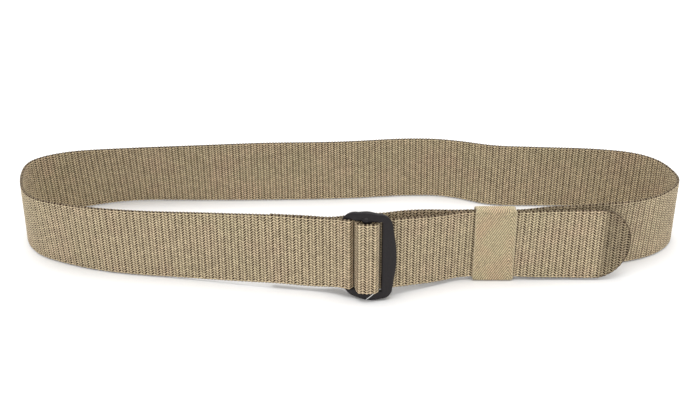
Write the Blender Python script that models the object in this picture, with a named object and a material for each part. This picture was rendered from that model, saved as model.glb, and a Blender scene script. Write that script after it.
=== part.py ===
"""Web belt: a ribbed strap standing on its edge, threaded through a three-bar slide and a tape keeper.

Sizes are in millimetres and become metres in the mesh. +X runs along the front of the belt to the free end,
+Y points away from the viewer and +Z is up. The lower edge of the strap is drawn in plan, and each section
says how far that edge is off the ground and how far the upper edge leans from it.
"""

import math
from collections import namedtuple

import bmesh
import bpy
import numpy as np
from mathutils import Vector

MM = 0.001

# Middle of the drawn plan, carried to the origin
PLAN_CENTRE_X = 0.52
PLAN_CENTRE_Y = -0.96

# Webbing
STRAP_WIDTH = 45.0
STRAP_THICKNESS = 1.8
TIP_LENGTH = 21.0
TIP_STATIONS = 12
TIP_END_ANGLE = 86.0
STATION_SPACING = 7.0
STATION_TURN = 9.0
ROUTE_STEP = 0.4

# Three-bar slide
BUCKLE_CENTRE_X = 12.0
BUCKLE_HEIGHT = 53.8
BUCKLE_CORNER_WIDTH = 29.0
BUCKLE_SIDE_BOW = 2.1
BUCKLE_THICKNESS = 3.2
BUCKLE_CORNER_RADIUS = 8.8
BUCKLE_SQUARE_CORNER_RADIUS = 6.0
BUCKLE_END_BOW = 1.0
BOW_POINTS = 6
BOW_FULLNESS = 1.2
BUCKLE_EDGE_RADIUS = 0.9
SHARP_ANGLE = 60.0
RAIL_HEIGHT = 3.9
SLOT_CORNER_RADIUS = 0.7
LEFT_SLOT = (1.4, 9.8)
RIGHT_SLOT = (14.4, 20.2)
ARCH_APEX_X = 13.0
ARCH_FRONT_Y = -71.0
ARCH_RADIUS = 31.0
ARCH_TURN = 8.0
BEND_STATIONS = 18

# The stack at the buckle is raised by the rail under it and leans back a little
BUCKLE_LIFT = 5.4
BUCKLE_LEAN = 3.2
BEHIND_SLOT_LIFT = 4.9

# Keeper
KEEPER_LEFT = 76.8
KEEPER_WIDTH = 24.7
KEEPER_WALL = 1.0
KEEPER_CORNER_RADIUS = 1.6
KEEPER_GAP = 0.5
KEEPER_FRONT_LAYER_Y = -47.6
KEEPER_SPACING = 2.3
KEEPER_LIFT = KEEPER_WALL + KEEPER_GAP
KEEPER_LEAN = 1.2
KEEPER_SLANT = -1.0

# One row for each section of the strap: the lower edge in plan, its height off the ground, and the shift
# of the upper edge from it
Section = namedtuple("Section", "x y lift lean_x lean_y")

# One row for each tight turn round a bar, with angles anticlockwise from +X in plan
Turn = namedtuple("Turn", "x y radius start end")

FOLDED_END = (
    Section(-45.0, -54.3, 2.0, 0.0, 4.1),
    Section(-32.0, -56.3, 2.3, 0.0, 4.1),
    Section(-20.0, -58.1, 2.6, 0.0, 3.9),
    Section(-11.0, -58.3, 2.2, 0.0, 3.6),
    Section(-5.0, -58.1, 2.6, 0.0, 3.2),
)
LEFT_BAR_TURN = Turn(-0.3, -64.7, 3.4, 58.0, -122.0)
NEAR_SIDE = (
    Section(-5.0, -64.9, 5.2, 0.0, 3.2),
    Section(-15.0, -61.6, 3.0, 0.0, 3.8),
    Section(-39.2, -57.8, 2.9, 0.0, 4.2),
    Section(-63.8, -53.6, 1.9, 0.4, 3.6),
    Section(-88.7, -49.0, 0.8, 0.8, 2.5),
    Section(-113.8, -44.8, 0.1, 1.0, 0.8),
    Section(-138.9, -41.0, 0.0, 1.0, -0.2),
    Section(-161.8, -35.2, 0.0, 0.9, -1.7),
    Section(-180.0, -28.2, 0.0, 0.9, -3.4),
)
LEFT_END = (
    Section(-196.8, -19.2, 0.0, 1.4, -3.8),
    Section(-208.2, -7.4, 0.0, 3.2, -2.8),
    Section(-214.9, 6.3, 0.0, 3.7, -1.6),
    Section(-216.8, 19.5, 0.0, 2.2, -0.8),
    Section(-213.9, 32.3, 0.0, 0.2, -1.2),
    Section(-204.5, 42.2, 0.0, 0.0, -1.3),
    Section(-190.0, 49.4, 0.0, 0.0, -2.0),
    Section(-174.9, 55.0, 0.0, 0.2, -4.3),
)
FAR_SIDE = (
    Section(-158.8, 59.1, 0.0, 0.9, -5.9),
    Section(-143.0, 60.5, 0.0, 1.3, -5.5),
    Section(-121.0, 60.5, 0.0, 1.1, -3.7),
    Section(-89.0, 60.4, 0.0, 0.7, -0.6),
    Section(-56.4, 60.8, 0.0, 0.3, 1.9),
    Section(-12.4, 62.4, 0.0, -0.4, 1.9),
    Section(10.0, 64.2, 0.0, -0.6, 2.3),
    Section(33.0, 67.1, 0.0, -1.1, 2.7),
    Section(54.0, 68.4, 0.0, -1.1, 2.3),
    Section(67.0, 67.6, 0.0, -1.1, 2.0),
    Section(78.0, 64.6, 0.0, -0.8, 2.4),
    Section(89.1, 59.6, 0.0, -0.2, 3.7),
    Section(98.0, 54.9, 0.0, 0.2, 5.2),
    Section(107.5, 52.4, 0.0, 0.2, 5.4),
    Section(123.0, 51.5, 0.0, 0.0, 4.6),
    Section(144.0, 51.4, 0.0, -0.4, 2.9),
)
RIGHT_END = (
    Section(166.0, 50.8, 0.0, -0.5, 1.7),
    Section(186.0, 48.2, 0.0, -0.6, 0.9),
    Section(202.0, 42.6, 0.0, -0.9, 0.2),
    Section(212.6, 32.6, 0.0, -1.7, -0.5),
    Section(217.2, 19.6, 0.0, -2.6, -1.2),
    Section(217.1, 5.0, 0.0, -2.9, -1.6),
    Section(207.4, -10.4, 0.0, -2.9, -1.8),
    Section(190.6, -22.0, 0.0, -1.4, -2.0),
)
BACK_LAYER = (
    Section(172.0, -28.4, 0.0, -0.4, -2.1),
    Section(154.5, -32.6, 0.0, 0.0, -0.9),
    Section(136.7, -36.4, 0.2, 0.0, 0.1),
    Section(117.0, -40.9, 0.8, 0.0, 0.9),
)
BACK_LAYER_TO_BUCKLE = (
    Section(64.0, -46.9, 1.9, 0.0, 1.6),
    Section(50.3, -49.5, 3.2, 0.0, 2.1),
    Section(39.5, -52.3, 4.2, 0.0, 2.6),
    Section(28.8, -55.3, 4.6, 0.0, 3.0),
    Section(20.0, -57.5, 4.6, 0.0, 3.2),
)
LEFT_SLOT_TURN = Turn(8.4, -60.3, 4.0, 100.0, 180.0)
BAR_WRAP_LEFT = Turn(10.2, -68.6, 3.8, 180.0, 262.0)
BAR_WRAP_RIGHT = Turn(14.9, -68.6, 3.8, 278.0, 360.0)
RIGHT_SLOT_TURN = Turn(21.5, -67.6, 2.8, 180.0, 92.0)
FRONT_LAYER_FROM_BUCKLE = (
    Section(29.3, -63.2, 4.6, 0.0, 3.2),
    Section(40.3, -59.4, 3.2, 0.0, 2.6),
    Section(50.0, -55.7, 2.3, 0.0, 2.1),
    Section(59.0, -51.9, 1.7, 0.0, 1.7),
    Section(67.0, -48.8, 1.5, 0.0, 1.4),
)
FREE_END = (
    Section(116.0, -47.9, 1.1, 0.0, 2.7),
    Section(131.0, -47.8, 0.9, 0.0, 4.0),
    Section(149.0, -48.0, 0.7, 0.0, 5.1),
    Section(162.0, -47.3, 0.6, 0.0, 5.6),
    Section(172.0, -45.9, 0.6, 0.0, 5.6),
)


def clear_scene():
    for item in list(bpy.data.objects):
        bpy.data.objects.remove(item, do_unlink=True)


def make_material(name, colour, roughness, metallic=0.0):
    material = bpy.data.materials.new(name)
    material.use_nodes = True
    shader = material.node_tree.nodes["Principled BSDF"]
    shader.inputs["Base Color"].default_value = (*colour, 1.0)
    shader.inputs["Roughness"].default_value = roughness
    shader.inputs["Metallic"].default_value = metallic
    return material


def add_object(name, bm, material, smooth_angle=35.0):
    """Puts a bmesh drawn in millimetres into the scene, in metres and centred in plan."""
    bmesh.ops.translate(bm, vec=(-PLAN_CENTRE_X, -PLAN_CENTRE_Y, 0.0), verts=bm.verts)
    bmesh.ops.scale(bm, vec=(MM, MM, MM), verts=bm.verts)
    bmesh.ops.recalc_face_normals(bm, faces=bm.faces)
    mesh = bpy.data.meshes.new(name)
    bm.to_mesh(mesh)
    bm.free()
    mesh.materials.append(material)
    mesh.shade_smooth()
    mesh.set_sharp_from_angle(angle=math.radians(smooth_angle))
    item = bpy.data.objects.new(name, mesh)
    bpy.context.scene.collection.objects.link(item)
    return item


def add_solidify(item, thickness):
    """Gives an open sheet its thickness, half on each side."""
    modifier = item.modifiers.new("thickness", "SOLIDIFY")
    modifier.thickness = thickness * MM
    modifier.offset = 0.0
    modifier.use_even_offset = True
    return modifier


def turn_sections(turn, steps=6, lift=BUCKLE_LIFT):
    """The sections along one tight turn, at the buckle's lean."""
    angles = np.radians(np.linspace(turn.start, turn.end, steps))
    return [
        Section(
            turn.x + turn.radius * math.cos(angle),
            turn.y + turn.radius * math.sin(angle),
            lift,
            0.0,
            BUCKLE_LEAN,
        )
        for angle in angles
    ]


def keeper_sections(y, reverse):
    """The straight stretch of one layer inside the keeper, with a little beyond both ends."""
    margin = 1.5
    places = np.linspace(KEEPER_LEFT - margin, KEEPER_LEFT + KEEPER_WIDTH + margin, 6)
    rows = [Section(x, y, KEEPER_LIFT, 0.0, KEEPER_LEAN) for x in places]
    return rows[::-1] if reverse else rows


def strap_sections():
    """All sections in order, from the folded end to the rounded tip."""
    rows = list(FOLDED_END)
    rows += turn_sections(LEFT_BAR_TURN, steps=9)
    rows += NEAR_SIDE + LEFT_END + FAR_SIDE + RIGHT_END + BACK_LAYER
    rows += keeper_sections(KEEPER_FRONT_LAYER_Y + KEEPER_SPACING, reverse=True)
    rows += BACK_LAYER_TO_BUCKLE
    rows += turn_sections(LEFT_SLOT_TURN, steps=4, lift=BEHIND_SLOT_LIFT)
    rows += turn_sections(BAR_WRAP_LEFT, steps=5)
    rows += turn_sections(BAR_WRAP_RIGHT, steps=5)
    rows += turn_sections(RIGHT_SLOT_TURN, steps=4)
    rows += FRONT_LAYER_FROM_BUCKLE
    rows += keeper_sections(KEEPER_FRONT_LAYER_Y, reverse=False)
    rows += FREE_END
    return np.array(rows)


def natural_spline(knots, values, places):
    """A smooth curve through the values at the knots, read at the places."""
    count = len(knots)
    width = np.diff(knots)
    matrix = np.eye(count)
    right = np.zeros_like(values)
    for i in range(1, count - 1):
        matrix[i, i - 1] = width[i - 1]
        matrix[i, i] = 2 * (width[i - 1] + width[i])
        matrix[i, i + 1] = width[i]
        after = (values[i + 1] - values[i]) / width[i]
        before = (values[i] - values[i - 1]) / width[i - 1]
        right[i] = 6 * (after - before)
    bend = np.linalg.solve(matrix, right)
    span = np.clip(np.searchsorted(knots, places) - 1, 0, count - 2)
    step = width[span][:, None]
    low = (knots[span + 1] - places)[:, None]
    high = (places - knots[span])[:, None]
    curve = (bend[span] * low**3 + bend[span + 1] * high**3) / (6 * step)
    curve += (values[span] / step - bend[span] * step / 6) * low
    curve += (values[span + 1] / step - bend[span + 1] * step / 6) * high
    return curve


def strap_stations():
    """Sections close enough together to follow the curve, with the distance of each along the strap."""
    rows = strap_sections()
    chords = np.hypot(*np.diff(rows[:, :2], axis=0).T)
    knots = np.concatenate(([0.0], np.cumsum(chords)))
    places = np.arange(0.0, knots[-1], ROUTE_STEP)
    fine = natural_spline(knots, rows, places)
    steps = np.diff(fine[:, :2], axis=0)
    length = np.concatenate(([0.0], np.cumsum(np.hypot(*steps.T))))
    heading = np.degrees(np.unwrap(np.arctan2(steps[:, 1], steps[:, 0])))
    kept = [0]
    for i in range(1, len(heading)):
        far_on = length[i] - length[kept[-1]] >= STATION_SPACING
        turned = abs(heading[i] - heading[kept[-1]]) >= STATION_TURN
        if (far_on or turned) and length[i] < length[-1] - TIP_LENGTH:
            kept.append(i)
    tip_start = length[-1] - TIP_LENGTH
    angles = np.radians(np.linspace(0.0, TIP_END_ANGLE, TIP_STATIONS))
    distances = np.concatenate((length[kept], tip_start + TIP_LENGTH * np.sin(angles)))
    columns = [np.interp(distances, length, fine[:, i]) for i in range(fine.shape[1])]
    shares = np.concatenate((np.ones(len(kept)), np.cos(angles)))
    return np.array(columns).T, shares


def make_strap(material):
    """The ribbon between the lower and the upper edge. The share narrows it to the rounded tip."""
    stations, shares = strap_stations()
    bm = bmesh.new()
    edges = []
    for (x, y, lift, lean_x, lean_y), share in zip(stations, shares):
        rise = math.sqrt(STRAP_WIDTH**2 - lean_x**2 - lean_y**2)
        edge_drop = math.hypot(lean_x, lean_y) / STRAP_WIDTH * STRAP_THICKNESS / 2
        foot = Vector((x, y, lift + edge_drop))
        across = Vector((lean_x, lean_y, rise))
        inset = (1.0 - share) / 2
        edges.append((bm.verts.new(foot + across * inset), bm.verts.new(foot + across * (1.0 - inset))))
    for (low, high), (next_low, next_high) in zip(edges, edges[1:]):
        bm.faces.new((low, next_low, next_high, high))
    item = add_object("strap", bm, material)
    add_solidify(item, STRAP_THICKNESS)
    return item


def arc_points(x, z, radius, start, end, steps):
    angles = np.radians(np.linspace(start, end, steps))
    return [(x + radius * math.cos(a), z + radius * math.sin(a)) for a in angles]


def rounded_box(left, right, bottom, top, radius, steps=6, side_bow=0.0, end_bow=0.0, low_right_radius=None):
    """A rounded rectangle, anticlockwise, whose sides and ends may bow outwards."""
    low_right = radius if low_right_radius is None else low_right_radius
    corners = (
        (left + radius, bottom + radius, radius, 180, 270),
        (right - low_right, bottom + low_right, low_right, 270, 360),
        (right - radius, top - radius, radius, 0, 90),
        (left + radius, top - radius, radius, 90, 180),
    )
    bows = ((0, -end_bow), (side_bow, 0), (0, end_bow), (-side_bow, 0))
    points = []
    for i, (corner, bow) in enumerate(zip(corners, bows)):
        arc = arc_points(*corner, steps)
        points += arc
        x, z, after_radius, after_start, after_end = corners[(i + 1) % 4]
        start = Vector(arc[-1])
        end = Vector(arc_points(x, z, after_radius, after_start, after_start, 1)[0])
        if bow != (0, 0):
            for share in np.linspace(0, 1, BOW_POINTS + 2)[1:-1]:
                swell = math.sin(math.pi * share) ** BOW_FULLNESS
                points.append(tuple(start.lerp(end, share) + Vector(bow) * swell))
    return points


def draw_loop(bm, points):
    """A closed loop of edges in the buckle's front plane."""
    verts = [bm.verts.new((x, 0.0, z)) for x, z in points]
    return [bm.edges.new((a, b)) for a, b in zip(verts, verts[1:] + verts[:1])]


def bend_to_arch(point):
    """Carries a point of the flat plate, whose middle is y = 0, to the arch in plan, and leans it back."""
    across = point.x - ARCH_APEX_X
    straight = math.sqrt(ARCH_RADIUS**2 - across**2)
    turn = math.tan(math.radians(ARCH_TURN))
    middle = ARCH_FRONT_Y + BUCKLE_THICKNESS / 2 + ARCH_RADIUS - straight - across * turn
    slope = math.atan(across / straight - turn)
    lean = BUCKLE_LEAN / STRAP_WIDTH * (point.z - BUCKLE_LIFT)
    return Vector((point.x - point.y * math.sin(slope), middle + point.y * math.cos(slope) + lean, point.z))


def make_buckle(material):
    """A flat plate with two slots, bent to an arch in plan and leaned back."""
    half = BUCKLE_CORNER_WIDTH / 2
    left = BUCKLE_CENTRE_X - half
    right = BUCKLE_CENTRE_X + half
    outline = rounded_box(
        left,
        right,
        0.0,
        BUCKLE_HEIGHT,
        BUCKLE_CORNER_RADIUS,
        side_bow=BUCKLE_SIDE_BOW,
        end_bow=BUCKLE_END_BOW,
        low_right_radius=BUCKLE_SQUARE_CORNER_RADIUS,
    )
    bm = bmesh.new()
    edges = draw_loop(bm, outline)
    for slot in (LEFT_SLOT, RIGHT_SLOT):
        edges += draw_loop(
            bm, rounded_box(*slot, RAIL_HEIGHT, BUCKLE_HEIGHT - RAIL_HEIGHT, SLOT_CORNER_RADIUS, steps=4)
        )
    bmesh.ops.triangle_fill(bm, use_beauty=True, use_dissolve=False, edges=edges)
    grown = bmesh.ops.extrude_face_region(bm, geom=bm.faces[:])
    moved = [v for v in grown["geom"] if isinstance(v, bmesh.types.BMVert)]
    bmesh.ops.translate(bm, vec=(0, BUCKLE_THICKNESS, 0), verts=moved)
    bmesh.ops.translate(bm, vec=(0, -BUCKLE_THICKNESS / 2, BUCKLE_END_BOW), verts=bm.verts)
    bmesh.ops.recalc_face_normals(bm, faces=bm.faces)
    bmesh.ops.bevel(
        bm,
        geom=[e for e in bm.edges if e.calc_face_angle(0) > math.radians(SHARP_ANGLE)],
        offset=BUCKLE_EDGE_RADIUS,
        offset_type="OFFSET",
        segments=2,
        profile=0.5,
        affect="EDGES",
        clamp_overlap=False,
        material=-1,
    )
    for x in np.linspace(left, right, BEND_STATIONS):
        everything = bm.verts[:] + bm.edges[:] + bm.faces[:]
        bmesh.ops.bisect_plane(bm, geom=everything, plane_co=(x, 0, 0), plane_no=(1, 0, 0), dist=1e-4)
    for v in bm.verts:
        v.co = bend_to_arch(v.co)
    return add_object("buckle", bm, material)


def make_keeper(material):
    """A band of tape round both layers, drawn as its middle surface and given its wall."""
    half_wall = KEEPER_WALL / 2
    reach = STRAP_THICKNESS / 2 + KEEPER_GAP + half_wall
    front = KEEPER_FRONT_LAYER_Y - reach
    back = KEEPER_FRONT_LAYER_Y + KEEPER_SPACING + reach
    top = KEEPER_LIFT + STRAP_WIDTH + KEEPER_GAP + half_wall
    loop = rounded_box(front, back, half_wall, top, KEEPER_CORNER_RADIUS - half_wall, steps=5)
    bm = bmesh.new()
    start = [bm.verts.new((KEEPER_LEFT, y, z)) for y, z in loop]
    ring = [bm.edges.new((a, b)) for a, b in zip(start, start[1:] + start[:1])]
    grown = bmesh.ops.extrude_edge_only(bm, edges=ring)
    moved = [v for v in grown["geom"] if isinstance(v, bmesh.types.BMVert)]
    bmesh.ops.translate(bm, vec=(KEEPER_WIDTH, 0, 0), verts=moved)
    for v in bm.verts:
        share = (v.co.z - KEEPER_LIFT) / STRAP_WIDTH
        v.co.y += KEEPER_LEAN * share
        v.co.x += KEEPER_SLANT * share
    item = add_object("keeper", bm, material)
    add_solidify(item, KEEPER_WALL)
    return item


def main():
    clear_scene()
    webbing = make_material("tan_webbing", (0.402, 0.314, 0.216), 0.9)
    twill = make_material("tan_twill", (0.491, 0.376, 0.235), 0.85)
    black = make_material("black_plastic", (0.03, 0.029, 0.032), 0.4)
    make_strap(webbing)
    make_buckle(black)
    make_keeper(twill)


main()
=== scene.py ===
import math
import bmesh
import bpy
import numpy as np
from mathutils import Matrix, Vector


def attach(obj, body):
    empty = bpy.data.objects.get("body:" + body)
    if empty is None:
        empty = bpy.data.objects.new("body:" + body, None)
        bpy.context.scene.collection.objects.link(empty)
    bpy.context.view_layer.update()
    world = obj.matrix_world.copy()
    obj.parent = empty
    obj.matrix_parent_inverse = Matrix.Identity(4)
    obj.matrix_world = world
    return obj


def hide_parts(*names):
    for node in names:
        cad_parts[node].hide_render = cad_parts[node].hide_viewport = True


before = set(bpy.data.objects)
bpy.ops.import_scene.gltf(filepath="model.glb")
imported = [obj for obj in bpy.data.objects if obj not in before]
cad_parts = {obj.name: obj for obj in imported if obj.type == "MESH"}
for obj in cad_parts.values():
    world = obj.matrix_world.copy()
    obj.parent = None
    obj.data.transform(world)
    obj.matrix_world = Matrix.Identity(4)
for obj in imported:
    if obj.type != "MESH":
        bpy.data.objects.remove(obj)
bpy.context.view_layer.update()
mm = 0.001


def smoothStep(low, high, value):
    t = np.clip((value - low) / (high - low), 0.0, 1.0)
    return t * t * (3.0 - 2.0 * t)


def linear(r, g, b):
    # an sRGB colour, 0 to 255, as a shader colour
    shares = [c / 255.0 for c in (r, g, b)]
    return tuple(c / 12.92 if c <= 0.04045 else ((c + 0.055) / 1.055) ** 2.4 for c in shares) + (1.0,)


def distanceAlong(points):
    return np.concatenate(([0.0], np.cumsum(np.hypot(*np.diff(points, axis=0).T))))


def naturalSpline(knots, values, places):
    # a smooth curve through the values at the knots, read at the places
    count = len(knots)
    width = np.diff(knots)
    matrix = np.eye(count)
    right = np.zeros_like(values)
    for i in range(1, count - 1):
        matrix[i, i - 1:i + 2] = width[i - 1], 2 * (width[i - 1] + width[i]), width[i]
        right[i] = 6 * ((values[i + 1] - values[i]) / width[i] - (values[i] - values[i - 1]) / width[i - 1])
    bend = np.linalg.solve(matrix, right)
    span = np.clip(np.searchsorted(knots, places) - 1, 0, count - 2)
    step = width[span][:, None]
    low = (knots[span + 1] - places)[:, None]
    high = (places - knots[span])[:, None]
    curve = (bend[span] * low ** 3 + bend[span + 1] * high ** 3) / (6 * step)
    curve += (values[span] / step - bend[span] * step / 6) * low
    return curve + (values[span + 1] / step - bend[span + 1] * step / 6) * high


def gridObject(name, columns, rows, place, closeColumns=False, closeRows=False, capEnds=False):
    # a grid whose points are carried to their places by the function, from the column and row of each
    bm = bmesh.new()
    bmesh.ops.create_grid(bm, x_segments=columns, y_segments=rows, size=1.0)
    mesh = bpy.data.meshes.new(name)
    bm.to_mesh(mesh)
    bm.free()
    flat = np.empty(len(mesh.vertices) * 3)
    mesh.vertices.foreach_get("co", flat)
    flat = flat.reshape(-1, 3)
    column = np.rint((flat[:, 0] + 1) / 2 * columns).astype(int)
    row = np.rint((flat[:, 1] + 1) / 2 * rows).astype(int)
    made = place(column, row)
    mesh.vertices.foreach_set("co", (made["co"] * mm).ravel())
    corners = np.empty(len(mesh.loops), int)
    mesh.loops.foreach_get("vertex_index", corners)
    layer = mesh.uv_layers.new(name="weave")
    layer.data.foreach_set("uv", made["uv"][corners].ravel())
    for key, values in made["fields"].items():
        field = mesh.attributes.new(key, "FLOAT", "POINT")
        field.data.foreach_set("value", values.astype(np.float32))
    bm = bmesh.new()
    bm.from_mesh(mesh)
    bm.verts.ensure_lookup_table()
    seamVerts = set()
    if closeRows:
        seamVerts |= set(np.nonzero((row == 0) | (row == rows))[0])
    if closeColumns:
        seamVerts |= set(np.nonzero((column == 0) | (column == columns))[0])
    if seamVerts:
        bmesh.ops.remove_doubles(bm, verts=[bm.verts[i] for i in seamVerts], dist=1e-7)
    if capEnds:
        openEdges = [e for e in bm.edges if e.is_boundary]
        bmesh.ops.holes_fill(bm, edges=openEdges, sides=0)
        for e in openEdges:
            e.smooth = False
    bmesh.ops.recalc_face_normals(bm, faces=bm.faces)
    for face in bm.faces:
        face.smooth = True
    bm.to_mesh(mesh)
    bm.free()
    piece = bpy.data.objects.new(name, mesh)
    bpy.context.scene.collection.objects.link(piece)
    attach(piece, "root")
    return piece


# The strap's route, close to the solid's. Each row is the lower edge in plan (x and y), its height off the
# ground, and the shift of the upper edge from it (x and y).
route = {
    "planCentre": (0.52, -0.96),  # carried to the origin
    "buckleLift": 5.4,
    "buckleLean": 3.2,
    "keeperLeft": 76.8,
    "keeperWidth": 24.7,
    "keeperLift": 1.5,
    "keeperLean": 1.2,
    "keeperFrontY": -47.6,
    "keeperSpacing": 2.3,  # between the middles of the two layers
    "keeperMargin": 1.5,  # the strap runs straight a little beyond the keeper
    "keeperRows": 6,
    "step": 0.1,
    "foldedEnd": (
        (-45.0, -54.3, 2.0, 0.0, 4.1),
        (-32.0, -56.3, 2.3, 0.0, 4.1),
        (-20.0, -58.1, 2.6, 0.0, 3.9),
        (-11.0, -58.3, 2.2, 0.0, 3.6),
        (-5.0, -58.1, 2.6, 0.0, 3.2),
    ),
    # a turn's centre, radius, start and end angle, steps and height off the ground
    "leftBarTurn": (0.7, -65.4, 2.4, 58.0, -122.0, 9, 5.4),
    "loop": (
        (-5.0, -64.9, 4.8, 0.0, 3.2),
        (-15.0, -61.6, 3.2, 0.0, 3.8),
        (-39.2, -57.8, 2.9, 0.0, 4.2),
        (-63.8, -53.6, 1.9, 0.4, 3.6),
        (-88.7, -49.0, 0.8, 0.8, 2.5),
        (-113.8, -44.8, 0.1, 1.0, 0.8),
        (-138.9, -41.0, 0.0, 1.0, -0.2),
        (-161.8, -35.2, 0.0, 0.9, -1.7),
        (-180.0, -28.2, 0.0, 0.9, -3.4),
        (-196.8, -19.2, 0.0, 1.4, -3.8),
        (-208.2, -7.4, 0.0, 3.2, -2.8),
        (-214.9, 6.3, 0.0, 3.7, -1.6),
        (-216.8, 19.5, 0.0, 2.2, -0.8),
        (-213.9, 32.3, 0.0, 0.2, -1.2),
        (-204.5, 42.2, 0.0, 0.0, -1.3),
        (-190.0, 49.4, 0.0, 0.0, -2.0),
        (-174.9, 55.0, 0.0, 0.2, -4.3),
        (-158.8, 59.1, 0.0, 0.9, -5.9),
        (-143.0, 60.5, 0.0, 1.3, -5.5),
        (-121.0, 60.5, 0.0, 1.1, -3.7),
        (-89.0, 60.4, 0.0, 0.7, -0.6),
        (-56.4, 60.8, 0.0, 0.3, 1.9),
        (-12.4, 62.4, 0.0, -0.4, 1.9),
        (10.0, 64.2, 0.0, -0.6, 2.3),
        (33.0, 67.1, 0.0, -1.1, 2.7),
        (54.0, 68.4, 0.0, -1.1, 2.3),
        (67.0, 67.6, 0.0, -1.1, 2.0),
        (78.0, 64.6, 0.0, -0.8, 2.4),
        (89.1, 59.6, 0.0, -0.2, 3.7),
        (98.0, 54.9, 0.0, 0.2, 5.2),
        (107.5, 52.4, 0.0, 0.2, 5.4),
        (123.0, 51.5, 0.0, 0.0, 4.6),
        (144.0, 51.4, 0.0, -0.4, 2.9),
        (166.0, 50.8, 0.0, -0.5, 1.7),
        (186.0, 48.2, 0.0, -0.6, 0.9),
        (202.0, 42.6, 0.0, -0.9, 0.2),
        (212.6, 32.6, 0.0, -1.7, -0.5),
        (217.2, 19.6, 0.0, -2.6, -1.2),
        (217.1, 5.0, 0.0, -2.9, -1.6),
        (207.4, -10.4, 0.0, -2.9, -1.8),
        (190.6, -22.0, 0.0, -1.4, -2.0),
        (172.0, -28.4, 0.0, -0.4, -2.1),
        (154.5, -32.6, 0.0, 0.0, -0.9),
        (136.7, -36.4, 0.2, 0.0, 0.1),
        (117.0, -40.9, 0.8, 0.0, 0.9),
    ),
    "backLayerToBuckle": (
        (64.0, -46.9, 1.9, 0.0, 1.6),
        (50.3, -49.5, 3.2, 0.0, 2.1),
        (39.5, -52.3, 4.2, 0.0, 2.6),
        (28.8, -55.3, 4.6, 0.0, 3.0),
        (20.0, -57.5, 4.6, 0.0, 3.2),
    ),
    "slotAndBarTurns": (
        (8.2, -60.3, 4.0, 100.0, 180.0, 4, 3.7),
        (8.6, -70.2, 2.2, 180.0, 262.0, 5, 5.2),
        (15.6, -70.2, 2.2, 278.0, 360.0, 5, 5.2),
        (21.2, -67.4, 2.9, 180.0, 92.0, 4, 3.9),
    ),
    "frontLayerFromBuckle": (
        (29.3, -63.2, 4.0, 0.0, 3.2),
        (40.3, -59.4, 3.2, 0.0, 2.6),
        (50.0, -55.7, 2.3, 0.0, 2.1),
        (59.0, -51.9, 1.7, 0.0, 1.7),
        (67.0, -48.8, 1.5, 0.0, 1.4),
    ),
    "freeEnd": (
        (116.0, -47.9, 1.1, 0.0, 2.7),
        (131.0, -47.8, 0.9, 0.0, 4.0),
        (149.0, -48.0, 0.7, 0.0, 5.1),
        (162.0, -47.3, 0.6, 0.0, 5.6),
        (172.0, -45.9, 0.6, 0.0, 5.6),
    ),
}


def turnRows(x, y, radius, start, end, steps, lift):
    return [(x + radius * math.cos(a), y + radius * math.sin(a), lift, 0.0, route["buckleLean"])
            for a in np.radians(np.linspace(start, end, steps))]


def keeperRows(y, backwards):
    left = route["keeperLeft"]
    margin = route["keeperMargin"]
    rows = [(x, y, route["keeperLift"], 0.0, route["keeperLean"])
            for x in np.linspace(left - margin, left + route["keeperWidth"] + margin, route["keeperRows"])]
    return rows[::-1] if backwards else rows


def routeRows():
    rows = list(route["foldedEnd"]) + turnRows(*route["leftBarTurn"]) + list(route["loop"])
    rows += keeperRows(route["keeperFrontY"] + route["keeperSpacing"], True)
    rows += list(route["backLayerToBuckle"])
    for turn in route["slotAndBarTurns"]:
        rows += turnRows(*turn)
    rows += list(route["frontLayerFromBuckle"])
    rows += keeperRows(route["keeperFrontY"], False)
    rows += list(route["freeEnd"])
    rows = np.array(rows)
    rows[:, 0] -= route["planCentre"][0]
    rows[:, 1] -= route["planCentre"][1]
    return rows


camera = {
    "place": (0.00148, -0.45504, 0.259),
    "pitchDown": 26.92,
    "focalPixels": 783.1,
    "imageWidth": 700,
    "sensor": 36.0,
    "clipStart": 0.01,
}

lens = bpy.data.cameras.new("photoCamera")
lens.sensor_width = camera["sensor"]
lens.lens = camera["focalPixels"] * camera["sensor"] / camera["imageWidth"]
lens.clip_start = camera["clipStart"]
viewer = bpy.data.objects.new("photoCamera", lens)
viewer.location = camera["place"]
viewer.rotation_euler = (math.radians(90.0 - camera["pitchDown"]), 0.0, 0.0)
bpy.context.scene.collection.objects.link(viewer)
bpy.context.scene.camera = viewer
print("camera set")

studio = {
    "world": 0.92,
    "overheadStrength": 1.65,
    "overheadWidth": 40.0,  # degrees, for the soft edge of the shadow
    "overheadDirection": (0.05, -0.03, -1.0),  # from the upper left, a little behind
    "floorColour": (0.92, 0.92, 0.92, 1.0),
    "floorRoughness": 0.9,
    "floorSize": 6.0,
    "floorHeight": -0.0002,  # a hair under the belt, so that the two don't meet
}

sky = bpy.data.worlds.new("studioLight")
sky.use_nodes = True
sky.node_tree.nodes["Background"].inputs["Color"].default_value = (1.0, 1.0, 1.0, 1.0)
sky.node_tree.nodes["Background"].inputs["Strength"].default_value = studio["world"]
bpy.context.scene.world = sky
bpy.context.scene.view_settings.view_transform = "Standard"
bpy.context.scene.cycles.denoising_prefilter = "NONE"  # the weave is finer than what a prefilter keeps
overhead = bpy.data.lights.new("overhead", "SUN")
overhead.energy = studio["overheadStrength"]
overhead.angle = math.radians(studio["overheadWidth"])
overheadLamp = bpy.data.objects.new("overhead", overhead)
overheadLamp.rotation_euler = Vector(studio["overheadDirection"]).to_track_quat("-Z", "Y").to_euler()
bpy.context.scene.collection.objects.link(overheadLamp)

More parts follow.
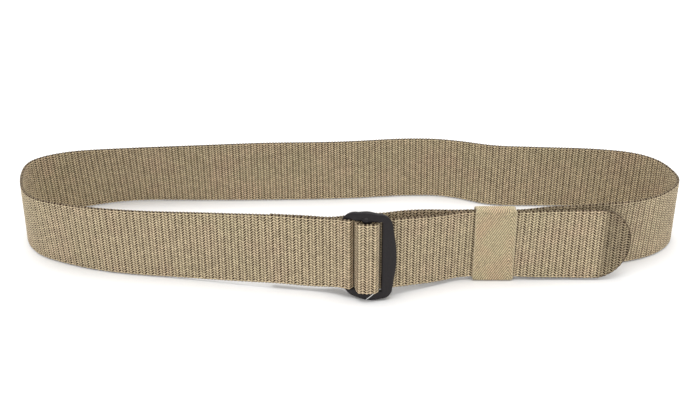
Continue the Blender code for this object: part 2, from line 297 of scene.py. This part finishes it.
floorMaterial = bpy.data.materials.new("paleFloor")
floorMaterial.use_nodes = True
floorShader = floorMaterial.node_tree.nodes["Principled BSDF"]
floorShader.inputs["Base Color"].default_value = studio["floorColour"]
floorShader.inputs["Roughness"].default_value = studio["floorRoughness"]
floorShader.inputs["Specular IOR Level"].default_value = 0.0
bm = bmesh.new()
bmesh.ops.create_grid(bm, x_segments=1, y_segments=1, size=studio["floorSize"] / 2)
floorMesh = bpy.data.meshes.new("floor")
bm.to_mesh(floorMesh)
bm.free()
floorMesh.materials.append(floorMaterial)
floor = bpy.data.objects.new("floor", floorMesh)
floor.location.z = studio["floorHeight"]
bpy.context.scene.collection.objects.link(floor)
print("light and floor set")


class NodeDesk:
    # shorthand for wiring a material's nodes
    def __init__(self, name):
        self.material = bpy.data.materials.new(name)
        self.material.use_nodes = True
        self.tree = self.material.node_tree
        self.shader = self.tree.nodes["Principled BSDF"]

    def add(self, kind, inputs=None, **settings):
        node = self.tree.nodes.new(kind)
        for key, value in settings.items():
            setattr(node, key, value)
        for key, value in (inputs or {}).items():
            if isinstance(value, bpy.types.NodeSocket):
                self.tree.links.new(value, node.inputs[key])
            else:
                node.inputs[key].default_value = value
        return node

    def field(self, name):
        return self.add("ShaderNodeAttribute", attribute_name=name).outputs["Fac"]

    def calc(self, operation, a, b=0.0):
        return self.add("ShaderNodeMath", {0: a, 1: b}, operation=operation).outputs[0]

    def times(self, *values):
        result = values[0]
        for value in values[1:]:
            result = self.calc("MULTIPLY", result, value)
        return result

    def ramp(self, value, low, high, toLow=0.0, toHigh=1.0):
        return self.add("ShaderNodeMapRange", {"Value": value, "From Min": low, "From Max": high,
                                               "To Min": toLow, "To Max": toHigh}).outputs[0]

    def noise(self, scale, detail=2.0, vector=None, roughness=0.5):
        inputs = {"Scale": scale, "Detail": detail, "Roughness": roughness}
        if vector is not None:
            inputs["Vector"] = vector
        return self.add("ShaderNodeTexNoise", inputs).outputs["Fac"]

    def shift(self, vector, amount):
        return self.add("ShaderNodeMapping", {"Vector": vector, "Location": amount}).outputs[0]

    def mix(self, share, a, b, blend="MIX"):
        node = self.add("ShaderNodeMix", data_type="RGBA", blend_type=blend)
        for socket, value in ((node.inputs[0], share), (node.inputs[6], a), (node.inputs[7], b)):
            if isinstance(value, bpy.types.NodeSocket):
                self.tree.links.new(value, socket)
            else:
                socket.default_value = value
        return node.outputs[2]

    def shade(self, colour, share):
        grey = self.add("ShaderNodeCombineColor", {0: share, 1: share, 2: share}).outputs[0]
        return self.mix(1.0, colour, grey, "MULTIPLY")

    def feed(self, socketName, value):
        self.tree.links.new(value, self.shader.inputs[socketName])

    def roughen(self, height, strength):
        bump = self.add("ShaderNodeBump", {"Height": height, "Strength": strength, "Distance": 0.1 * mm})
        self.feed("Normal", bump.outputs["Normal"])

    def setSurface(self, specular, sheen):
        self.shader.inputs["Specular IOR Level"].default_value = specular
        self.shader.inputs["Sheen Weight"].default_value = sheen


webbingLook = {
    "yarn": linear(219, 200, 165),
    "warmYarn": linear(221, 190, 162),
    "coolYarn": linear(211, 200, 161),
    "tintShare": 0.35,  # of the warm and the cool yarn where they are strongest
    # the gap colour and the three shares below paint the shade seen in the holes between the yarns
    "gap": linear(44, 22, 2),
    "strongGap": 1.0,
    "weakGap": 0.85,
    "rowGap": 0.45,
    "looseness": 0.93,  # how deep the painted shade in the holes is where the weave is tight
    "edgeShade": 0.6,  # the turned edge takes less light than the face
    "stitchTones": (0.8, 1.1),
    "grainTones": (0.88, 1.1),
    "tipShade": linear(184, 182, 178),
    "tipShare": 0.8,
    "sealed": linear(74, 58, 40),
    "looseScale": 70.0,  # each scale says how fine a noise is, per metre
    "warmScale": 55.0,
    "coolScale": 38.0,
    "grainScale": 900.0,
    "fuzzScale": 2600.0,
    "roughness": 0.88,
    "sealedRoughness": 0.5,
    "specular": 0.2,
    "sheen": 0.08,
    "strandsPerStitch": 4.0,
    "bumpStrength": 0.12,
}


def makeWebbing():
    look = webbingLook
    desk = NodeDesk("tanWebbing")
    place = desk.add("ShaderNodeTexCoord").outputs["Object"]
    weave = desk.add("ShaderNodeSeparateXYZ", {0: desk.add("ShaderNodeUVMap", uv_map="weave").outputs["UV"]})
    rib = weave.outputs["X"]
    stitch = weave.outputs["Y"]
    # painted shade in the holes between the ribs, deeper at every other rib, where the rows of stitches meet
    turn = desk.calc("COSINE", desk.times(rib, math.pi))
    rowTurn = desk.calc("ABSOLUTE", desk.calc("COSINE", desk.times(stitch, math.pi)))
    strong = desk.ramp(turn, 0.1, -0.7)
    weak = desk.ramp(turn, 0.1, 0.8)
    rowHole = desk.ramp(rowTurn, 0.28, 0.68)
    holes = desk.times(strong, rowHole, look["strongGap"])
    weakHoles = desk.times(weak, rowHole, look["weakGap"])
    rowLines = desk.times(desk.ramp(rowTurn, 0.7, 1.0), look["rowGap"])
    paintedHoleShade = desk.calc("MAXIMUM", desk.calc("MAXIMUM", holes, weakHoles), rowLines)
    # tighter and looser patches of the weave, which lighten or deepen the painted shade in the holes
    patches = desk.noise(look["looseScale"], 1.0, desk.shift(place, (2.0, 7.0, 1.0)))
    paintedHoleShade = desk.times(paintedHoleShade, desk.ramp(patches, 0.3, 0.55, look["looseness"], 1.0))
    # the yarn's own tints, a tone for each stitch, and painted shade on the turned edge
    warm = desk.ramp(desk.noise(look["warmScale"], 2.0, place), 0.5, 0.7, 0.0, look["tintShare"])
    coolPatches = desk.noise(look["coolScale"], 2.0, desk.shift(place, (3.0, 1.0, 2.0)))
    cool = desk.ramp(coolPatches, 0.5, 0.72, 0.0, look["tintShare"])
    colour = desk.mix(warm, look["yarn"], look["warmYarn"])
    colour = desk.mix(cool, colour, look["coolYarn"])
    grain = desk.noise(look["grainScale"], 1.0, desk.shift(place, (1.0, 4.0, 2.0)))
    grain = desk.ramp(grain, 0.3, 0.7, *look["grainTones"])
    tone = desk.ramp(desk.field("tone"), 0.0, 1.0, *look["stitchTones"])
    fromEdge = desk.calc("MINIMUM", stitch, desk.calc("SUBTRACT", webbing["stitchesAcross"], stitch))
    edgeShade = desk.ramp(fromEdge, -0.1, 0.35, look["edgeShade"], 1.0)
    colour = desk.shade(colour, desk.times(grain, tone, edgeShade))
    # painted shade laid into the holes of the weave
    colour = desk.mix(paintedHoleShade, colour, look["gap"])
    # the tip is darker, and its cut end is sealed
    colour = desk.mix(desk.times(desk.field("tip"), look["tipShare"]), colour, look["tipShade"], "MULTIPLY")
    colour = desk.mix(desk.field("sealed"), colour, look["sealed"])
    desk.feed("Base Color", colour)
    roughness = desk.ramp(desk.field("sealed"), 0.0, 1.0, look["roughness"], look["sealedRoughness"])
    desk.feed("Roughness", roughness)
    desk.setSurface(look["specular"], look["sheen"])
    # fine strands run along each yarn
    twist = desk.calc("ADD", desk.times(stitch, look["strandsPerStitch"] * math.pi * 2.0),
                      desk.times(rib, math.pi * 2.0))
    strands = desk.calc("ABSOLUTE", desk.calc("SINE", twist))
    fuzz = desk.times(desk.noise(look["fuzzScale"], 1.0, place), 0.8)
    desk.roughen(desk.calc("ADD", strands, fuzz), look["bumpStrength"])
    return desk.material


twillLook = {
    "ridge": linear(219, 202, 163),
    # painted shade in the twill's grooves
    "grooveShade": linear(30, 21, 9),
    "warmRidge": linear(222, 194, 159),
    "edge": linear(191, 176, 146),
    "warmShare": 0.8,
    "threadTones": (0.7, 1.2),
    "warmScale": 60.0,
    "threadScale": 1100.0,
    "patchScale": 400.0,
    "fuzzScale": 2600.0,
    "roughness": (0.8, 0.92),
    "specular": 0.2,
    "sheen": 0.08,
    "bumpStrength": 0.4,
}


def makeTwill():
    look = twillLook
    desk = NodeDesk("twillTape")
    place = desk.add("ShaderNodeTexCoord").outputs["Object"]
    warm = desk.ramp(desk.noise(look["warmScale"], 1.0, place), 0.45, 0.65, 0.0, look["warmShare"])
    ridge = desk.mix(warm, look["ridge"], look["warmRidge"])
    # painted shade in the twill's grooves, laid by the tone field
    colour = desk.mix(desk.field("tone"), look["grooveShade"], ridge)
    colour = desk.mix(desk.field("rolled"), colour, look["edge"])
    threads = desk.ramp(desk.noise(look["threadScale"], 2.0, place), 0.3, 0.7, *look["threadTones"])
    desk.feed("Base Color", desk.shade(colour, threads))
    patches = desk.noise(look["patchScale"], 1.0, place)
    desk.feed("Roughness", desk.ramp(patches, 0.3, 0.7, *look["roughness"]))
    desk.setSurface(look["specular"], look["sheen"])
    desk.roughen(desk.noise(look["fuzzScale"], 1.0, place), look["bumpStrength"])
    return desk.material


plasticLook = {
    "body": linear(25, 20, 22),
    "worn": linear(49, 44, 45),
    "wornShare": 0.35,
    # near-white colour of a painted glint on the lower rail
    "glint": linear(250, 250, 248),
    "glintStart": (10.8, 0.4),  # across and up, in mm, on the lower rail
    "glintEnd": (15.2, 4.6),
    "glintHalfWidth": 0.24,
    "glintFrontOf": -64.26,  # only the rail's front takes the painted glint
    "speckleScale": 1400.0,
    "patchScale": 300.0,
    "grainScale": 1800.0,
    "roughness": (0.38, 0.5),
    "specular": 0.28,
    "bumpStrength": 0.25,
}


def paintedGlintMask(desk, place):
    # a painted glint: a fine straight highlight line across the lower rail
    look = plasticLook
    start = Vector(look["glintStart"]) * mm
    reach = Vector(look["glintEnd"]) * mm - start
    ahead = reach.normalized()
    axes = desk.add("ShaderNodeSeparateXYZ", {0: place})
    x = desk.calc("SUBTRACT", axes.outputs["X"], start.x)
    z = desk.calc("SUBTRACT", axes.outputs["Z"], start.y)
    along = desk.calc("ADD", desk.times(x, ahead.x), desk.times(z, ahead.y))
    off = desk.calc("ABSOLUTE", desk.calc("SUBTRACT", desk.times(z, ahead.x), desk.times(x, ahead.y)))
    narrow = desk.ramp(off, look["glintHalfWidth"] * mm, look["glintHalfWidth"] * mm * 0.6)
    inside = desk.times(desk.calc("GREATER_THAN", along, 0.0), desk.calc("LESS_THAN", along, reach.length))
    front = desk.calc("LESS_THAN", axes.outputs["Y"], look["glintFrontOf"] * mm)
    return desk.times(narrow, inside, front)


def makePlastic():
    look = plasticLook
    desk = NodeDesk("blackPlastic")
    place = desk.add("ShaderNodeTexCoord").outputs["Object"]
    speckle = desk.noise(look["speckleScale"], 3.0, place, 0.6)
    worn = desk.ramp(speckle, 0.52, 0.75, 0.0, look["wornShare"])
    colour = desk.mix(worn, look["body"], look["worn"])
    # the painted glint line is laid over the plastic's colour
    desk.feed("Base Color", desk.mix(paintedGlintMask(desk, place), colour, look["glint"]))
    patches = desk.noise(look["patchScale"], 2.0, place)
    desk.feed("Roughness", desk.ramp(patches, 0.3, 0.7, *look["roughness"]))
    desk.setSurface(look["specular"], 0.0)
    desk.roughen(desk.noise(look["grainScale"], 2.0, place, 0.6), look["bumpStrength"])
    return desk.material


webbing = {
    "width": 45.0,
    "halfThickness": 0.9,
    "ribPitch": 2.15,
    "stitchesAcross": 27,
    "samplesPerRib": 4,
    "rowsPerStitch": 3,
    "edgeMargin": 0.45,  # plain selvedge beyond the outermost stitches
    "zigzag": 0.72,  # how far a yarn climbs from rib to rib, each way
    "zigzagFade": 3.0,
    # heights over the middle of the webbing: of the yarn at a rib's crest and between ribs, and of the gap
    # between two stitches at a crest and at the deeper and shallower valleys
    "crestHeight": 0.92,
    "valleyHeight": 0.78,
    "crestGap": 0.68,
    "strongGap": 0.2,
    "weakGap": 0.4,
    "crestFullness": 0.8,
    "gapFullness": 1.5,
    "unevenness": 0.05,
    "seed": 5,
    # distances from the edge between which the relief sets in and the face reaches its full thickness
    "reliefStart": (0.2, 1.6),
    "edgeRounding": (-0.35, 0.9),
    "edgeThinning": 0.45,
    "edgeNotch": 0.45,
    "notchDepth": 1.4,
    "tipLength": 21.0,
    "tipEndAngle": 86.0,
    "tipColumns": 10,
    "tipZone": 4.0,  # the last millimetres are sampled by angle, so that the cut is round
    "tipShadeStart": 20.0,
    "tipShadeFade": 4.0,
    "sealWidth": (0.25, 1.3),  # sealed up to the first distance from the cut, plain past the second
    "sealHeight": 0.75,
    "pieces": ("webbing_front_left", "webbing_left", "webbing_far", "webbing_right", "webbing_free_end"),
}

webbingMaterial = makeWebbing()
twillMaterial = makeTwill()
plasticMaterial = makePlastic()
print("materials made")


def strapLine():
    # the rows of the route at every step, with the distance along it
    rows = routeRows()
    knots = distanceAlong(rows[:, :2])
    fine = naturalSpline(knots, rows, np.arange(0.0, knots[-1], route["step"]))
    return fine, distanceAlong(fine[:, :2])


fineRoute, fineLength = strapLine()
strapLength = fineLength[-1]
ribCount = int(strapLength / webbing["ribPitch"])
stitchPitch = (webbing["width"] - 2 * webbing["edgeMargin"]) / webbing["stitchesAcross"]
tipStart = strapLength - webbing["tipLength"]
print("strap", round(strapLength), "mm long,", ribCount, "ribs")


def onRoute(s, flatV):
    # a point of the webbing's middle sheet and the way outwards from it
    w = webbing
    x, y, lift, leanX, leanY = [np.interp(s, fineLength, fineRoute[:, i]) for i in range(5)]
    heading = np.gradient(fineRoute[:, :2], fineLength, axis=0)
    leanTurn = np.gradient(fineRoute[:, 3:5], fineLength, axis=0)
    up = flatV / w["width"]
    rise = np.sqrt(w["width"] ** 2 - leanX ** 2 - leanY ** 2)
    ahead = np.stack([
        np.interp(s, fineLength, heading[:, 0]) + up * np.interp(s, fineLength, leanTurn[:, 0]),
        np.interp(s, fineLength, heading[:, 1]) + up * np.interp(s, fineLength, leanTurn[:, 1]),
        np.zeros_like(s),
    ], axis=1)
    across = np.stack([leanX, leanY, rise], axis=1)
    outward = -np.cross(ahead, across)
    outward /= np.linalg.norm(outward, axis=1)[:, None]
    # where the webbing leans, its edge stands on a corner
    corner = np.hypot(leanX, leanY) / w["width"] * w["halfThickness"]
    foot = np.stack([x, y, lift + corner], axis=1)
    return foot + across * up[:, None], outward


def weaveSurface(s, v, side):
    # Places points of the webbing. s runs along it, v up across it, and side is 1 on the outer face, -1 on
    # the inner one and 0 at the very edge.
    w = webbing
    half = w["width"] / 2
    beyond = np.clip((s - tipStart) / w["tipLength"], 0.0, 1.0)
    share = np.cos(np.arcsin(np.minimum(beyond, math.sin(math.radians(w["tipEndAngle"])))))
    rib = s / w["ribPitch"]
    crest = np.abs(np.sin(np.pi * rib)) ** w["crestFullness"]
    flatV = half + (v - half) * share  # the tip narrows
    stitch = (flatV - w["edgeMargin"]) / stitchPitch
    row = np.minimum(1.0, np.abs(np.sin(np.pi * stitch)) / math.sin(math.pi / 3))
    valleyGap = np.where(np.rint(rib) % 2 == 1, w["strongGap"], w["weakGap"])
    yarnHeight = w["valleyHeight"] + (w["crestHeight"] - w["valleyHeight"]) * crest
    onCrest = crest ** w["gapFullness"]
    gapHeight = w["crestGap"] * onCrest + valleyGap * (1 - onCrest)
    relief = smoothStep(*w["reliefStart"], flatV) * smoothStep(*w["reliefStart"], w["width"] - flatV)
    row = 1.0 - (1.0 - row) * relief
    height = gapHeight + (yarnHeight - gapHeight) * row
    # each stitch is a little different
    random = np.random.default_rng(w["seed"]).random((ribCount + 4, w["stitchesAcross"] + 2, 2))
    stitchNumber = np.clip(np.floor(stitch).astype(int), 0, w["stitchesAcross"])
    pick = random[np.floor(rib).astype(int) + 1, stitchNumber]
    height = height + (pick[:, 0] - 0.5) * 2 * w["unevenness"] * row
    # the cut end is sealed smooth, and the edges are rounded
    roundness = np.hypot(beyond, (flatV - half) / half)
    fromCut = np.where(s > tipStart, (1.0 - roundness) * half, half)
    sealed = 1.0 - smoothStep(*w["sealWidth"], fromCut)
    height = height * (1 - sealed) + w["sealHeight"] * sealed
    full = smoothStep(*w["edgeRounding"], np.minimum(flatV, w["width"] - flatV))
    height = height * (1 - w["edgeThinning"] * (1 - full))
    # the yarns climb from rib to rib and pull the edge in between the ribs
    fadeIn = smoothStep(0.0, w["zigzagFade"], v) * smoothStep(0.0, w["zigzagFade"], w["width"] - v)
    climb = w["zigzag"] * np.sin(np.pi * rib) * fadeIn
    nearEdge = 1 - smoothStep(0.0, w["notchDepth"], np.minimum(v, w["width"] - v))
    notch = w["edgeNotch"] * (1 - crest) * nearEdge
    flatV = flatV + climb * share + np.where(v < half, notch, -notch)
    middle, outward = onRoute(s, flatV)
    return {
        "co": middle + outward * (side * height)[:, None],
        "uv": np.stack([rib, stitch], axis=1),
        "fields": {
            "tone": pick[:, 1],
            "tip": smoothStep(0.0, w["tipShadeFade"], s - (strapLength - w["tipShadeStart"])),
            "sealed": sealed,
        },
    }


def makeWebbingPieces():
    w = webbing
    rowNumbers = np.arange(w["stitchesAcross"] * w["rowsPerStitch"] + 1)
    faceRows = w["edgeMargin"] + stitchPitch * rowNumbers / w["rowsPerStitch"]
    rowV = np.concatenate(([0.0], faceRows, [w["width"]], faceRows[::-1], [0.0]))
    rowSide = np.concatenate(([0.0], np.ones(len(faceRows)), [0.0], -np.ones(len(faceRows)), [0.0]))
    plainEnd = strapLength - w["tipZone"]
    step = w["ribPitch"] / w["samplesPerRib"]
    plain = np.arange(0.0, plainEnd, step)
    firstAngle = math.asin((plain[-1] + step - tipStart) / w["tipLength"])
    angles = np.linspace(firstAngle, math.radians(w["tipEndAngle"]), w["tipColumns"])
    stations = np.concatenate((plain, tipStart + w["tipLength"] * np.sin(angles)))
    count = len(w["pieces"])
    cuts = [int(round(ribCount * k / count)) * w["samplesPerRib"] for k in range(count)]
    cuts.append(len(stations) - 1)
    for name, first, last in zip(w["pieces"], cuts, cuts[1:]):
        def place(column, row):
            return weaveSurface(stations[first + column], rowV[row], rowSide[row])
        piece = gridObject(name, last - first, len(rowV) - 1, place, closeRows=True, capEnds=True)
        piece.data.materials.append(webbingMaterial)
        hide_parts("strap")
        print("made", name, len(piece.data.polygons), "faces")


makeWebbingPieces()

keeper = {
    "wall": 1.0,
    "cornerRadius": 1.6,
    "foldCorner": 1.2,  # rounds the tape's corners at the top and bottom folds
    "gap": 0.5,
    "slant": -1.0,
    "twillPitch": 1.19,
    "twillAngle": 31.6,
    "twillHeight": 0.25,
    "twillSharpness": 1.3,
    "turnBackWidth": 3.4,  # the twill turns the other way in this strip
    "rimStart": 0.35,  # where the face ends and the rounded rim begins
    "rimTurn": 0.08,
    "rimDepth": 0.7,
    "rimLip": 0.06,
    "reliefStart": (0.2, 1.2),
    # share of the ridge colour left in the grooves' painted shade
    "grooveTone": 0.1,
    "innerTone": 0.6,
    "rolledShare": 0.8,
    "cornerSteps": 9,
    "acrossSteps": 90,
    "innerSteps": 10,
    "aroundSteps": 240,
}


def keeperPath(count):
    # middle line of the tape as (y, z) points, closed, evenly spaced, and the way outwards at each
    k = keeper
    reach = webbing["halfThickness"] + k["gap"] + k["wall"] / 2
    front = route["keeperFrontY"] - reach
    back = route["keeperFrontY"] + route["keeperSpacing"] + reach
    low = k["wall"] / 2
    high = route["keeperLift"] + webbing["width"] + k["gap"] + k["wall"] / 2
    radius = k["cornerRadius"] - k["wall"] / 2
    points = []
    for y, z, start in ((back - radius, low + radius, -90), (back - radius, high - radius, 0),
                        (front + radius, high - radius, 90), (front + radius, low + radius, 180)):
        for a in np.radians(np.linspace(start, start + 90, k["cornerSteps"])):
            points.append((y + radius * math.cos(a), z + radius * math.sin(a)))
    points.append(points[0])
    points = np.array(points)[::-1]  # up the front first
    length = distanceAlong(points)
    places = np.linspace(0.0, length[-1], count + 1)
    line = np.stack([np.interp(places, length, points[:, i]) for i in range(2)], axis=1)
    ahead = np.roll(line[:-1], -1, axis=0) - np.roll(line[:-1], 1, axis=0)
    ahead = np.vstack([ahead, ahead[:1]])
    ahead /= np.linalg.norm(ahead, axis=1)[:, None]
    outwards = np.stack([-ahead[:, 1], ahead[:, 0]], axis=1)
    return line, outwards, places


def makeKeeper():
    k = keeper
    line, outwards, places = keeperPath(k["aroundSteps"])
    half = k["wall"] / 2
    width = route["keeperWidth"]
    rim, turn = k["rimStart"], k["rimTurn"]
    # across the tape's section: the outer face, the right rim, the inner face and the left rim
    outerX = np.linspace(rim, width - rim, k["acrossSteps"])
    innerX = np.linspace(width - rim, rim, k["innerSteps"])
    xs = np.concatenate((outerX, [width - turn, width, width - turn], innerX, [turn, 0.0, turn, rim]))
    deep = half * k["rimDepth"]
    offsets = np.concatenate((np.full(len(outerX), half), [deep, 0.0, -deep],
                              np.full(len(innerX), -half), [-deep, 0.0, deep, half]))
    angle = math.radians(k["twillAngle"])

    def place(column, row):
        x = xs[row]
        along = places[column]
        turnBack = width - k["turnBackWidth"]
        folded = turnBack - np.abs(x - turnBack)
        phase = (folded * math.cos(angle) - along * math.sin(angle)) / k["twillPitch"]
        ridge = np.abs(np.sin(np.pi * phase)) ** k["twillSharpness"]
        outer = offsets[row] >= half * 0.99
        inFace = smoothStep(*k["reliefStart"], np.minimum(x, width - x))
        relief = k["twillHeight"] * (ridge * inFace - 1.0) + k["rimLip"] * (1 - inFace)
        offset = offsets[row] + np.where(outer, relief, 0.0)
        y = line[column, 0] + outwards[column, 0] * offset
        z = line[column, 1] + outwards[column, 1] * offset
        shareUp = (z - route["keeperLift"]) / webbing["width"]
        fromFold = np.clip(np.minimum(z - line[:, 1].min(), line[:, 1].max() - z), 0.0, k["foldCorner"])
        inset = k["foldCorner"] - np.sqrt(k["foldCorner"] ** 2 - (k["foldCorner"] - fromFold) ** 2)
        acrossTape = width / 2 + (x - width / 2) * (1 - 2 * inset / width)
        co = np.stack([
            route["keeperLeft"] + acrossTape + k["slant"] * shareUp - route["planCentre"][0],
            y + route["keeperLean"] * shareUp - route["planCentre"][1],
            z,
        ], axis=1)
        return {
            "co": co,
            "uv": np.stack([x, along], axis=1),
            "fields": {
                # on the outer face the tone field lays painted shade in the twill's grooves
                "tone": np.where(outer, k["grooveTone"] + (1 - k["grooveTone"]) * ridge, k["innerTone"]),
                "rolled": np.where(outer, (1 - inFace) * k["rolledShare"], k["rolledShare"]),
            },
        }

    piece = gridObject("keeper_tape", k["aroundSteps"], len(xs) - 1, place, closeColumns=True,
                       closeRows=True)
    piece.data.materials.append(twillMaterial)
    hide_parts("keeper")
    print("made keeper_tape", len(piece.data.polygons), "faces")


makeKeeper()

slide = {
    "centreX": 12.0,
    "height": 53.8,
    "cornerWidth": 29.0,
    "sideBow": 2.1,
    "endBow": 1.0,
    "bowFullness": 1.2,
    "thickness": 3.2,
    "cornerRadius": 8.8,
    "squareCornerRadius": 6.0,  # the lower right corner
    "edgeRadius": 1.0,
    "edgeSteps": 5,
    "sharpAngle": 60.0,  # rims that turn by more than this are rounded
    "railHeight": 4.8,
    "slotCornerRadius": 0.7,
    "leftSlot": (1.4, 9.8),
    "rightSlot": (14.4, 20.2),
    "archApexX": 13.0,
    "archFrontY": -71.0,
    "archRadius": 31.0,
    "archTurn": 8.0,
    "cornerSteps": 14,
    "slotCornerSteps": 6,
    "bowSteps": 16,
    "bendSteps": 36,
    "knobCentre": (11.3, 51.0),  # rounded end of the centre bar, across and up
    "knobHalfSizes": (2.9, 2.9, 2.1),
    "knobSteps": (32, 16),
}


def roundedBox(left, right, low, high, radius, steps, sideBow=0.0, endBow=0.0, lowRightRadius=None):
    # outline points of a box with rounded corners, whose sides and ends may swell outwards
    lowRight = lowRightRadius or radius
    corners = ((left + radius, low + radius, radius, 180), (right - lowRight, low + lowRight, lowRight, 270),
               (right - radius, high - radius, radius, 0), (left + radius, high - radius, radius, 90))
    bows = ((0, -endBow), (sideBow, 0), (0, endBow), (-sideBow, 0))
    points = []
    for i, ((x, z, r, start), bow) in enumerate(zip(corners, bows)):
        arc = [Vector((x + r * math.cos(a), z + r * math.sin(a)))
               for a in np.radians(np.linspace(start, start + 90, steps))]
        points += arc
        nextX, nextZ, nextR, nextStart = corners[(i + 1) % 4]
        end = Vector((nextX + nextR * math.cos(math.radians(nextStart)),
                      nextZ + nextR * math.sin(math.radians(nextStart))))
        if bow != (0, 0):
            for share in np.linspace(0, 1, slide["bowSteps"])[1:-1]:
                swell = math.sin(math.pi * share) ** slide["bowFullness"]
                points.append(arc[-1].lerp(end, share) + Vector(bow) * swell)
    return points


def archPlace(point):
    # carries a point of the flat plate onto the slide's arch, leaning back with the strap
    across = point.x - slide["archApexX"]
    straight = math.sqrt(slide["archRadius"] ** 2 - across ** 2)
    turn = math.tan(math.radians(slide["archTurn"]))
    middle = slide["archFrontY"] + slide["thickness"] / 2 + slide["archRadius"] - straight - across * turn
    slope = math.atan(across / straight - turn)
    lean = route["buckleLean"] / webbing["width"] * (point.z - route["buckleLift"])
    return Vector((point.x - point.y * math.sin(slope) - route["planCentre"][0],
                   middle + point.y * math.cos(slope) + lean - route["planCentre"][1], point.z))


def addSlidePiece(name, bm, sharpAngle):
    for v in bm.verts:
        v.co = archPlace(v.co)
    bmesh.ops.scale(bm, vec=(mm, mm, mm), verts=bm.verts)
    bmesh.ops.recalc_face_normals(bm, faces=bm.faces)
    mesh = bpy.data.meshes.new(name)
    bm.to_mesh(mesh)
    bm.free()
    mesh.shade_smooth()
    mesh.set_sharp_from_angle(angle=math.radians(sharpAngle))
    mesh.materials.append(plasticMaterial)
    piece = bpy.data.objects.new(name, mesh)
    bpy.context.scene.collection.objects.link(piece)
    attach(piece, "root")
    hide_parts("buckle")
    print("made", name, len(mesh.polygons), "faces")


def makeSlide():
    b = slide
    bm = bmesh.new()
    left = b["centreX"] - b["cornerWidth"] / 2
    right = b["centreX"] + b["cornerWidth"] / 2
    outlines = [roundedBox(left, right, 0.0, b["height"], b["cornerRadius"], b["cornerSteps"], b["sideBow"],
                           b["endBow"], b["squareCornerRadius"])]
    slotTop = b["height"] - b["railHeight"]
    for slot in (b["leftSlot"], b["rightSlot"]):
        slotSides = (*slot, b["railHeight"], slotTop)
        outlines.append(roundedBox(*slotSides, b["slotCornerRadius"], b["slotCornerSteps"]))
    edges = []
    for points in outlines:
        verts = [bm.verts.new((p.x, 0.0, p.y)) for p in points]
        edges += [bm.edges.new(pair) for pair in zip(verts, verts[1:] + verts[:1])]
    bmesh.ops.triangle_fill(bm, use_beauty=True, use_dissolve=False, edges=edges)
    grown = bmesh.ops.extrude_face_region(bm, geom=bm.faces[:])
    moved = [v for v in grown["geom"] if isinstance(v, bmesh.types.BMVert)]
    bmesh.ops.translate(bm, vec=(0, b["thickness"], 0), verts=moved)
    bmesh.ops.translate(bm, vec=(0, -b["thickness"] / 2, b["endBow"]), verts=bm.verts)
    bmesh.ops.recalc_face_normals(bm, faces=bm.faces)
    rim = [e for e in bm.edges if e.calc_face_angle(0) > math.radians(b["sharpAngle"])]
    bmesh.ops.bevel(bm, geom=rim, offset=b["edgeRadius"], offset_type="OFFSET", segments=b["edgeSteps"],
                    profile=0.5, affect="EDGES", clamp_overlap=False, material=-1)
    for x in np.linspace(left - b["sideBow"], right + b["sideBow"], b["bendSteps"]):
        bmesh.ops.bisect_plane(bm, geom=bm.verts[:] + bm.edges[:] + bm.faces[:], plane_co=(x, 0, 0),
                               plane_no=(1, 0, 0), dist=1e-4)
    addSlidePiece("slide", bm, 40.0)


def makeKnob():
    b = slide
    bm = bmesh.new()
    around, up = b["knobSteps"]
    bmesh.ops.create_uvsphere(bm, u_segments=around, v_segments=up, radius=1.0)
    bmesh.ops.scale(bm, vec=b["knobHalfSizes"], verts=bm.verts)
    bmesh.ops.translate(bm, vec=(b["knobCentre"][0], 0.0, b["knobCentre"][1]), verts=bm.verts)
    addSlidePiece("slide_bar_end", bm, 180.0)


makeSlide()
makeKnob()
